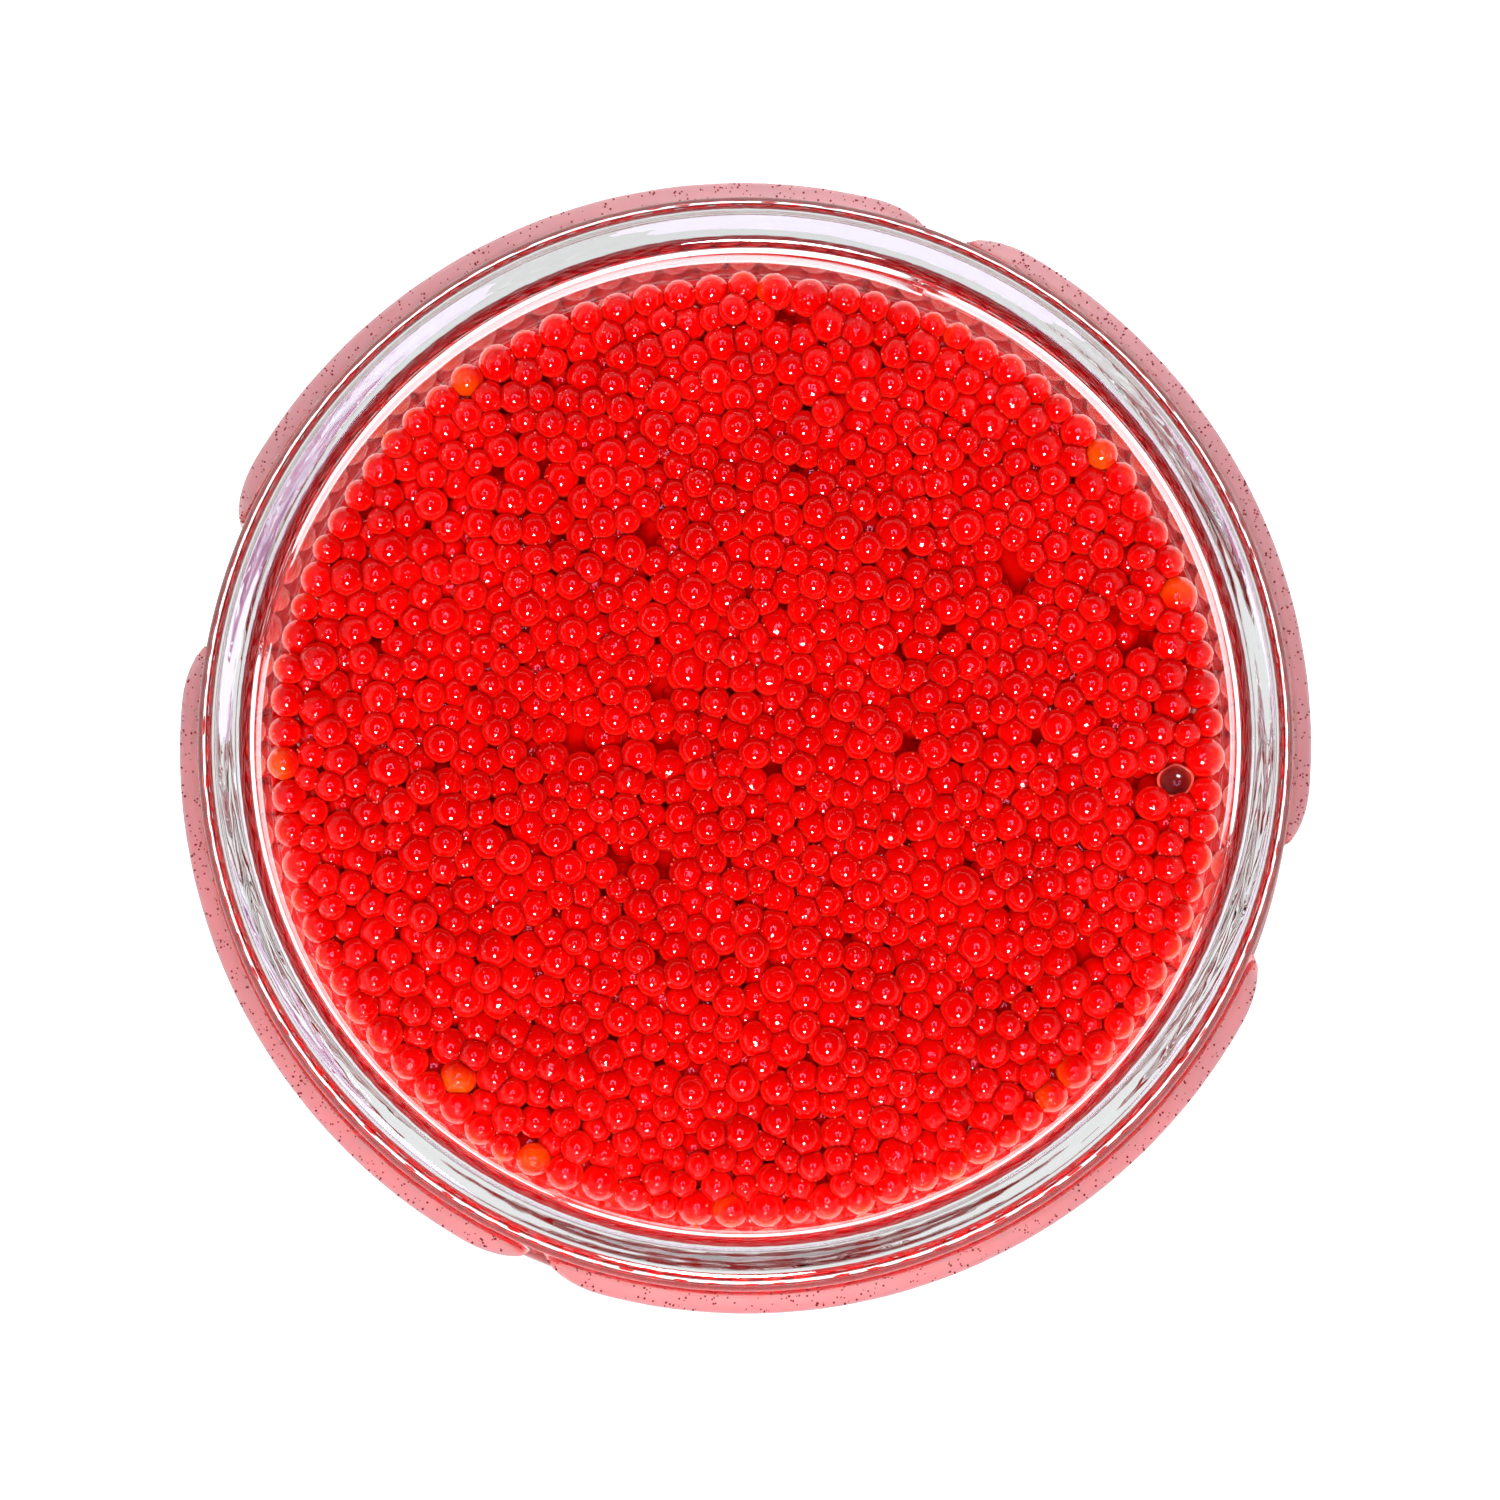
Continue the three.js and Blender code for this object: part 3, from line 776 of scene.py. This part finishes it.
def loose_eggs(rng, roe, bore):
    """Centres and radii of the eggs in the neck: as many as their share of the space allows, thrown in at
    random and settled between the bore, a floor and a ceiling that is a little different for each egg. The
    empty egg comes first, then the big one and the chain along the glass, and these stay where they are put.
    Of two eggs left too close, the later goes, unless it is one of these."""
    egg_volume = 4 / 3 * math.pi * (PRESS * roe.egg_diameter / 2) ** 3
    count = int(LOOSE_SHARE * math.pi * bore ** 2 * LOOSE_DEPTH / egg_volume)
    radii = egg_radii(rng, count, roe)
    held = np.concatenate([np.array([EMPTY_EGG, BIG_EGG]) * MM, edge_ring(rng, roe, bore)])
    radii[:len(held)] = held[:, 2]
    far = (bore - radii) * np.sqrt(rng.random(count))
    heading = 2 * math.pi * rng.random(count)
    height = ROE_LEVEL - LOOSE_DEPTH * rng.random(count)
    lift = rng.normal(0, UNEVEN_TOP, count)
    lift[:len(held)] *= HELD_UNEVEN

    def in_neck(centres, radii):
        """Keeps eggs inside the bore, off the glass where they lie under others, and below the ceiling."""
        out = np.hypot(centres[:, 0], centres[:, 1])
        top = roe_level(centres[:, 0], centres[:, 1]) + lift - radii
        buried = np.clip((top - centres[:, 2]) / NECK_GAP_BELOW, 0, 1)
        reach = bore - NECK_GAP * buried - radii
        centres[:, :2] *= np.minimum(1, reach / np.maximum(out, TINY))[:, None]
        centres[:, 2] = np.clip(centres[:, 2], ROE_LEVEL - LOOSE_DEPTH, top)
        centres[:len(held), :2] = held[:, :2]
        centres[:len(held), 2] = top[:len(held)]
        return centres

    start = np.stack([far * np.cos(heading), far * np.sin(heading), height], axis=1)
    centres = settle(in_neck(start, radii), radii, in_neck, LOOSE_ROUNDS, fall=SINK)
    first, second = near_pairs(centres, radii, CROWDED)
    keep = np.ones(count, bool)
    keep[second[second >= len(held)]] = False
    return centres[keep], radii[keep]


def wall_eggs(rng, roe, jar):
    """Centres, radii and outward directions of the eggs against the glass, from the middle of the floor up to
    the neck: they are strewn evenly over the inside of the glass, and settled on it."""
    profile = inner_profile(jar)
    profile = profile[profile[:, 1] < WALL_TOP + WALL_OVER][::-1]
    step = np.diff(profile, axis=0)
    length = np.linalg.norm(step, axis=1)
    area = math.pi * (profile[1:, 0] + profile[:-1, 0]) * length * (profile[1:, 1] < WALL_TOP)
    count = int(WALL_SHARE * area.sum() / (math.pi * (PRESS * roe.egg_diameter / 2) ** 2))
    radii = egg_radii(rng, count, roe)
    piece = rng.choice(len(area), count, p=area / area.sum())
    spot = profile[piece] + step[piece] * rng.random(count)[:, None]
    heading = 2 * math.pi * rng.random(count)

    def on_glass(centres, radii):
        """Puts each centre square off the nearest point of the profile, at its radius less its reach."""
        out = np.maximum(np.hypot(centres[:, 0], centres[:, 1]), TINY)
        place = np.stack([out, centres[:, 2]], axis=1)
        along = ((place[:, None] - profile[:-1]) * step).sum(axis=2) / length ** 2
        foot = profile[:-1] + step * np.clip(along, 0, 1)[:, :, None]
        nearest = np.argmin(np.linalg.norm(place[:, None] - foot, axis=2), axis=1)
        foot = foot[np.arange(count), nearest]
        inward = np.stack([-step[nearest, 1], step[nearest, 0]], axis=1) / length[nearest][:, None]
        reach = into_glass(foot[:, 1], EGGS_TOUCH, EGGS_INTO_GLASS)
        place = foot + inward * (radii - reach)[:, None]
        centres[:, :2] *= (place[:, 0] / out)[:, None]
        centres[:, 2] = np.minimum(place[:, 1], WALL_TOP)
        return centres

    inside = spot * (WALL_START, 1) + (0, WALL_START_RISE)
    start = np.stack([inside[:, 0] * np.cos(heading), inside[:, 0] * np.sin(heading), inside[:, 1]], axis=1)
    centres = settle(on_glass(start, radii), radii, on_glass, WALL_ROUNDS)
    outward = on_glass(centres.copy(), np.zeros(count)) - centres
    return centres, radii, outward / np.linalg.norm(outward, axis=1)[:, None]


def lead_specks(rng, jar):
    """Dried specks of brine strewn over the upper flanks of the thread leads."""
    lead = np.array(LEADS)[rng.integers(0, len(LEADS), SPECKS)]
    along = rng.random(SPECKS)
    angle = lead[:, 0] + along * (lead[:, 1] - lead[:, 0])
    above = LEAD_HALF_HEIGHT * (SPECK_LOWEST + SPECK_RISE * rng.random(SPECKS))
    height = LEAD_LOW_END + LEAD_RISE * along + above
    out = jar.neck_radius + lead_relief(angle, height, jar.lead_depth)
    turn = np.radians(angle)
    places = np.stack([out * np.cos(turn), out * np.sin(turn), height + SPECK_RADIUS / 2], axis=1)
    sizes = SPECK_RADIUS * (SPECK_LEAST + SPECK_SPAN * rng.random(SPECKS))
    upward = np.tile((0.0, 0.0, 1.0), (SPECKS, 1))
    return eggs("lead_specks", places, sizes, upward, SPECK_CELLS, rng, dried_brine(), np.zeros(SPECKS),
                jar.bore_radius)


class TOBIKO_OT_jar(Operator):
    """Turn the glass jar with its neck, lip and thread leads"""
    bl_idname = "tobiko.jar"
    bl_label = "Glass jar"

    def execute(self, context):
        jar = context.scene.tobiko_jar
        outer = outer_profile(jar)
        inner = inner_profile(jar)
        profile = np.concatenate([outer, inner])
        outside = (np.arange(len(profile)) < len(outer))[:, None]
        angle = np.linspace(0, 360, JAR_COLUMNS, endpoint=False)[None, :]
        height = profile[:, 1:]
        relief = lead_relief(angle, height, jar.lead_depth) * outside
        piece = turned("glass_jar", profile[:, :1] + relief, height, soda_lime_glass())

        def per_point(grid):
            """The points' values in the order of the mesh, from a value for each row and column."""
            return np.concatenate([grid[0, :1], grid[1:-1].reshape(-1, *grid.shape[2:]), grid[-1, :1]])

        # Ripples follow the glass: the run along its profile, and a circle smaller by the stretch
        step = np.linalg.norm(np.diff(profile, axis=0, prepend=profile[:1]), axis=1)
        run =np.broadcast_to(np.cumsum(step)[:, None], relief.shape)
        turn = np.broadcast_to(np.radians(angle), relief.shape)
        across = jar.neck_radius / FLOW_STRETCH
        flow = np.stack([across * np.cos(turn), across * np.sin(turn), run], axis=2)

        # Leads are fully tinted by the painted pink reflection of the roe from half their depth on
        keep_values(piece, {"lead": per_point(np.clip(2 * relief / jar.lead_depth, 0, 1))})
        layer = piece.data.attributes.new("flow", "FLOAT_VECTOR", "POINT")
        layer.data.foreach_set("vector", per_point(flow).astype(np.float32).reshape(-1))
        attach(piece, "root")
        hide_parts("jar")
        return {"FINISHED"}


class TOBIKO_OT_packed_roe(Operator):
    """Fill the jar with packed roe up to under the loose eggs"""
    bl_idname = "tobiko.packed_roe"
    bl_label = "Packed roe"

    def execute(self, context):
        jar, roe = context.scene.tobiko_jar, context.scene.tobiko_roe
        inner = inner_profile(jar)[::-1]
        top = ROE_LEVEL - CORE_DEPTH
        wall = inner[inner[:, 1] < top - CORE_GAP]

        # It stands off the glass in the neck and low down, and off the floor, so that eggs show there
        away = into_glass(wall[:, 1], -CORE_GAP, CORE_INTO_GLASS)
        rise = CORE_GAP * np.clip(1 - (wall[:, 1] - jar.floor) / CORE_RISE_OVER, 0, 1)
        side = np.stack([np.maximum(wall[:, 0] + away, 0), wall[:, 1] + rise], axis=1)
        lid = line((side[-1, 0], top), (0, top), CORE_LID_STEPS)
        profile = np.concatenate([side, lid])
        radius = np.repeat(profile[:, :1], CORE_COLUMNS, axis=1)
        piece = turned("packed_roe", radius, profile[:, 1:], packed_roe(roe))
        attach(piece, "root")
        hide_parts("roe")
        return {"FINISHED"}


class TOBIKO_OT_eggs(Operator):
    """Strew the eggs that show: those in the neck, and those that lie against the glass"""
    bl_idname = "tobiko.eggs"
    bl_label = "Eggs"

    def execute(self, context):
        jar, roe = context.scene.tobiko_jar, context.scene.tobiko_roe
        rng = np.random.default_rng(roe.seed)
        skin = egg_membrane(roe)
        centres, radii = loose_eggs(rng, roe, jar.bore_radius)
        depth = roe_level(centres[:, 0], centres[:, 1]) - centres[:, 2] - radii
        at_wall, wall_radii, wall_outward = wall_eggs(rng, roe, jar)
        if min(len(centres), len(at_wall)) < FEWEST_EGGS:
            raise RuntimeError("too few eggs to cover the roe")
        upward = np.tile((0.0, 0.0, 1.0), (len(centres), 1))

        # The first egg is the empty one, made on its own, and eggs deeper than the buried are left out
        drawn =np.arange(len(centres)) > 0
        on_top = drawn & (depth < SURFACE_DEPTH)
        under = drawn & (depth >= SURFACE_DEPTH) & (depth < BURIED_DEPTH)
        low = at_wall[:, 2] < WALL_LOW_TO
        high = at_wall[:, 2] >= WALL_HIGH_FROM
        amber = np.zeros(len(centres))
        top = np.flatnonzero(on_top)
        for spot in AMBER_EGGS:
            off = np.hypot(*(centres[top, :2] - np.array(spot) * MM).T)
            amber[top[np.argmin(off)]] = AMBER_LEAST + AMBER_CHANCE * rng.random()
        no_amber = np.zeros(len(at_wall))
        in_neck = (centres, radii, upward, amber)
        on_wall = (at_wall, wall_radii, wall_outward, no_amber)
        groups = (
            ("surface_eggs", *in_neck, on_top, SURFACE_CELLS),
            ("buried_eggs", *in_neck, under, DEEP_CELLS),
            ("wall_eggs_low", *on_wall, low, DEEP_CELLS),
            ("wall_eggs_middle", *on_wall, ~low & ~high, DEEP_CELLS),
            ("wall_eggs_high", *on_wall, high, DEEP_CELLS),
        )
        pieces = [
            eggs(name, places[chosen], sizes[chosen], outward[chosen], cells, rng, skin, tint[chosen],
                 jar.bore_radius)
            for name, places, sizes, outward, tint, chosen, cells in groups
        ]
        pieces.append(empty_egg(centres[0], radii[0], spent_membrane_painted_light()))

        # Drops sit on the upper halves of surface eggs
        on = rng.choice(top, DROPS)
        toward =rng.normal(0, 1, (DROPS, 3)) + (0, 0, DROP_UPWARD)
        toward /= np.linalg.norm(toward, axis=1)[:, None]
        toward[:, 2] = np.abs(toward[:, 2])
        drop_radii = DROP_RADIUS * (DROP_LEAST + DROP_SPAN * rng.random(DROPS))
        places = centres[on] + toward * (radii[on] + DROP_STANDS_OUT * drop_radii)[:, None]
        tint = (rng.random(DROPS) < AMBER_DROPS).astype(float)
        pieces.append(eggs("brine_drops_painted_glint", places, drop_radii, upward[on], SPECK_CELLS, rng, brine_drops_painted_glint(roe),
                           tint, jar.bore_radius))
        pieces.append(lead_specks(rng, jar))
        for piece in pieces:
            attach(piece, "root")
            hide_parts("roe")
        return {"FINISHED"}


def area_light(name, at, aim, size, power, colour=(1, 1, 1)):
    """A round soft lamp at a place, turned towards its aim."""
    data = bpy.data.lights.new(name, "AREA")
    data.shape = "DISK"
    data.size = size
    data.energy = power
    data.color = colour
    lamp = bpy.data.objects.new(name, data)
    lamp.location = at
    lamp.rotation_euler = (Vector(aim) - Vector(at)).to_track_quat("-Z", "Y").to_euler()
    bpy.context.scene.collection.objects.link(lamp)


def light_table():
    """Opal acrylic pane lit from below: matt, and an even, overexposed white. Under the jar a painted shadow
    dims it, with a smoothstep of 3 mm out to the white, and where a surface mirrors it, it is no brighter than
    there."""
    material, tree = new_material("light_table")
    place = add_node(tree, "ShaderNodeTexCoord")
    off_axis = add_node(tree, "ShaderNodeVectorMath", {"operation": "LENGTH"}, links={
        0: place.outputs["Object"],
    })
    # Painted shadow: the white dims under the jar
    glow = add_node(tree, "ShaderNodeMapRange", {"interpolation_type": "SMOOTHSTEP"}, values={
        "From Min": SHADE_FROM, "From Max": SHADE_TO, "To Min": SHADED_WHITE, "To Max": WHITE,
    }, links={"Value": off_axis.outputs["Value"]})
    path = add_node(tree, "ShaderNodeLightPath")
    limit = add_node(tree, "ShaderNodeMapRange", values={"To Min": WHITE, "To Max": SHADED_WHITE}, links={
        "Value": path.outputs["Is Reflection Ray"],
    })
    seen = add_node(tree, "ShaderNodeMath", {"operation": "MINIMUM"}, links={
        0: glow.outputs["Result"], 1: limit.outputs["Result"],
    })
    matt = add_node(tree, "ShaderNodeBsdfPrincipled", values={
        "Base Color": linear("#404040"), "Roughness": 0.9, "Specular IOR Level": 0.1,
        "Emission Color": (1, 1, 1, 1),
    }, links={"Emission Strength": seen.outputs["Value"]})
    add_node(tree, "ShaderNodeOutputMaterial", links={"Surface": matt.outputs["BSDF"]})
    return material


def studio_world():
    """White round the jar for what the camera sees, also through the glass, under a third as bright where the
    glass mirrors it on the way, and dim for what else is mirrored, so that the wet eggs mirror mostly the
    lamps. Matt surfaces get an even fill from it."""
    world = bpy.data.worlds.new("studio")
    world.use_nodes = True
    tree = world.node_tree
    tree.nodes.clear()
    path = add_node(tree, "ShaderNodeLightPath")
    seen = add_node(tree, "ShaderNodeMath", {"operation": "MAXIMUM"}, links={
        0: path.outputs["Is Camera Ray"], 1: path.outputs["Is Transmission Ray"],
    })
    mirrored = add_node(tree, "ShaderNodeMath", {"operation": "MINIMUM"}, values={1: 1.0}, links={
        0: path.outputs["Glossy Depth"],
    })
    dimmed = add_node(tree, "ShaderNodeMath", {"operation": "MULTIPLY_ADD"}, values={1: MIRROR_DIM}, links={
        0: mirrored.outputs["Value"], 2: path.outputs["Diffuse Depth"],
    })
    plain = add_node(tree, "ShaderNodeMath", {"operation": "SUBTRACT", "use_clamp": True}, links={
        0: seen.outputs["Value"], 1: dimmed.outputs["Value"],
    })
    strength = add_node(tree, "ShaderNodeMapRange", values={"To Min": DIM_SKY, "To Max": WHITE}, links={
        "Value": plain.outputs["Value"],
    })
    filled = add_node(tree, "ShaderNodeMath", {"operation": "MULTIPLY_ADD"}, values={1: FILL}, links={
        0: path.outputs["Is Diffuse Ray"], 2: strength.outputs["Result"],
    })
    sky = add_node(tree, "ShaderNodeBackground", links={"Strength": filled.outputs["Value"]})
    add_node(tree, "ShaderNodeOutputWorld", links={"Surface": sky.outputs["Background"]})
    return world


class TOBIKO_OT_stage(Operator):
    """Set the pale floor, the studio light and the camera"""
    bl_idname = "tobiko.stage"
    bl_label = "Stage"

    def execute(self, context):
        scene = context.scene
        corners = TABLE_HALF * np.array([(-1, -1, 0), (1, -1, 0), (1, 1, 0), (-1, 1, 0)])
        floor = mesh_object("floor", corners, [[0, 1, 2, 3]], light_table(), smooth=False)

        rim = (0, 0, JAR_HIGH.z)
        area_light("key", KEY_PLACE, rim, KEY_SIZE, KEY_POWER)
        for number, turn in enumerate(np.radians(np.linspace(ARCH_FROM, ARCH_TO, ARCH_LAMPS))):
            at = (ARCH_RIGHT + ARCH_RADIUS * math.cos(turn), ARCH_RADIUS * math.sin(turn), ARCH_HEIGHT)
            area_light(f"arch_{number}", at, rim, ARCH_SIZE, ARCH_POWER, ARCH_COLOUR)
        scene.world = studio_world()
        scene.view_settings.view_transform = "Standard"
        scene.cycles.max_bounces = 16
        scene.cycles.diffuse_bounces = 2
        scene.cycles.glossy_bounces = 10
        scene.cycles.transmission_bounces = 12
        scene.cycles.adaptive_threshold = 0.05

        data = bpy.data.cameras.new("camera")
        data.lens = CAMERA_LENS
        data.sensor_width = CAMERA_SENSOR
        data.clip_start = 10 * MM
        camera = bpy.data.objects.new("camera", data)
        tilt = math.radians(CAMERA_TILT)
        backward = Vector((0, -math.sin(tilt), math.cos(tilt)))
        camera.location = Vector(CAMERA_AIM) + CAMERA_DISTANCE * backward
        camera.rotation_euler = (tilt, 0, 0)
        scene.collection.objects.link(camera)
        scene.camera = camera
        return {"FINISHED"}


class TOBIKO_PT_panel(Panel):
    """Buttons for the pieces"""
    bl_label = "Roe jar"
    bl_idname = "TOBIKO_PT_panel"
    bl_space_type = "VIEW_3D"
    bl_region_type = "UI"
    bl_category = "Roe jar"

    def draw(self, context):
        """Lists the sizes and colours, and a button for each operator."""
        for settings in (context.scene.tobiko_jar, context.scene.tobiko_roe):
            box = self.layout.box()
            for name in settings.bl_rna.properties.keys():
                if name not in ("name", "rna_type"):
                    box.prop(settings, name)
        for operator in OPERATORS:
            self.layout.operator(operator.bl_idname)


OPERATORS = (TOBIKO_OT_jar, TOBIKO_OT_packed_roe, TOBIKO_OT_eggs, TOBIKO_OT_stage)
CLASSES = (JarSizes, RoeSizes, *OPERATORS, TOBIKO_PT_panel)


def register():
    """Registers the classes and gives the scene their sizes and colours."""
    for item in CLASSES:
        bpy.utils.register_class(item)
    bpy.types.Scene.tobiko_jar = PointerProperty(type=JarSizes)
    bpy.types.Scene.tobiko_roe = PointerProperty(type=RoeSizes)


def unregister():
    """Takes the sizes and colours off the scene and unregisters the classes."""
    del bpy.types.Scene.tobiko_roe
    del bpy.types.Scene.tobiko_jar
    for item in reversed(CLASSES):
        bpy.utils.unregister_class(item)


def main():
    """Makes every piece and the stage."""
    register()
    bpy.ops.tobiko.jar()
    bpy.ops.tobiko.packed_roe()
    bpy.ops.tobiko.eggs()
    bpy.ops.tobiko.stage()


if __name__ == "__main__":
    main()
